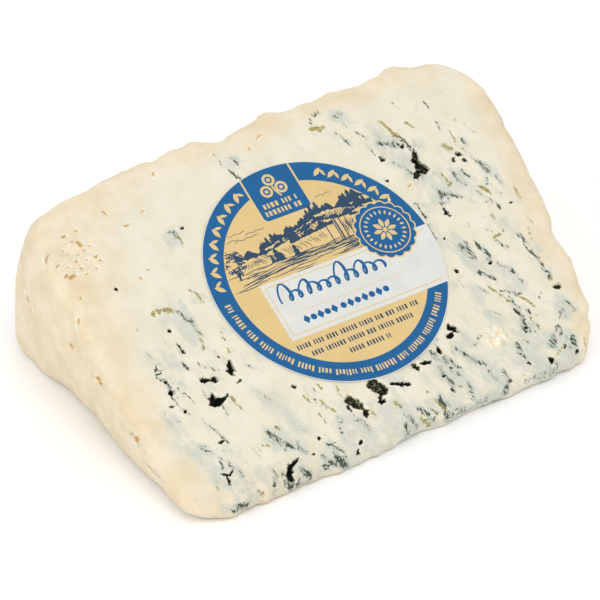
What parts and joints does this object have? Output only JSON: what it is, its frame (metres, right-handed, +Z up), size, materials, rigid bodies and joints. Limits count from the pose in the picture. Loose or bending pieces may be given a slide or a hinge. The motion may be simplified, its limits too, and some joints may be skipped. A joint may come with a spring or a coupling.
{
  "type": "wedge of blue cheese",
  "caption": "Wedge of blue-veined cheese cut as a sector of a small wheel, lying on one cut face, with a round printed paper label on the other.",
  "frame": {"origin": "centre of the footprint, on the surface that the wedge lies on", "axes": "+X along the wheel's axis, from the left flat end to the right one as the label reads; +Y from the thin nose to the rind; +Z up"},
  "size_m": [0.1176, 0.0824, 0.0408],
  "materials": {
    "cheese_paste": "moist cream paste with blue-grey veins and open eyes of mould",
    "label_paper": "satin printed paper in blue, gold and white"
  },
  "bodies": {
    "root": {"cheese_wedge": "cheese_paste", "paper_label": "label_paper"}
  },
  "joints": []
}
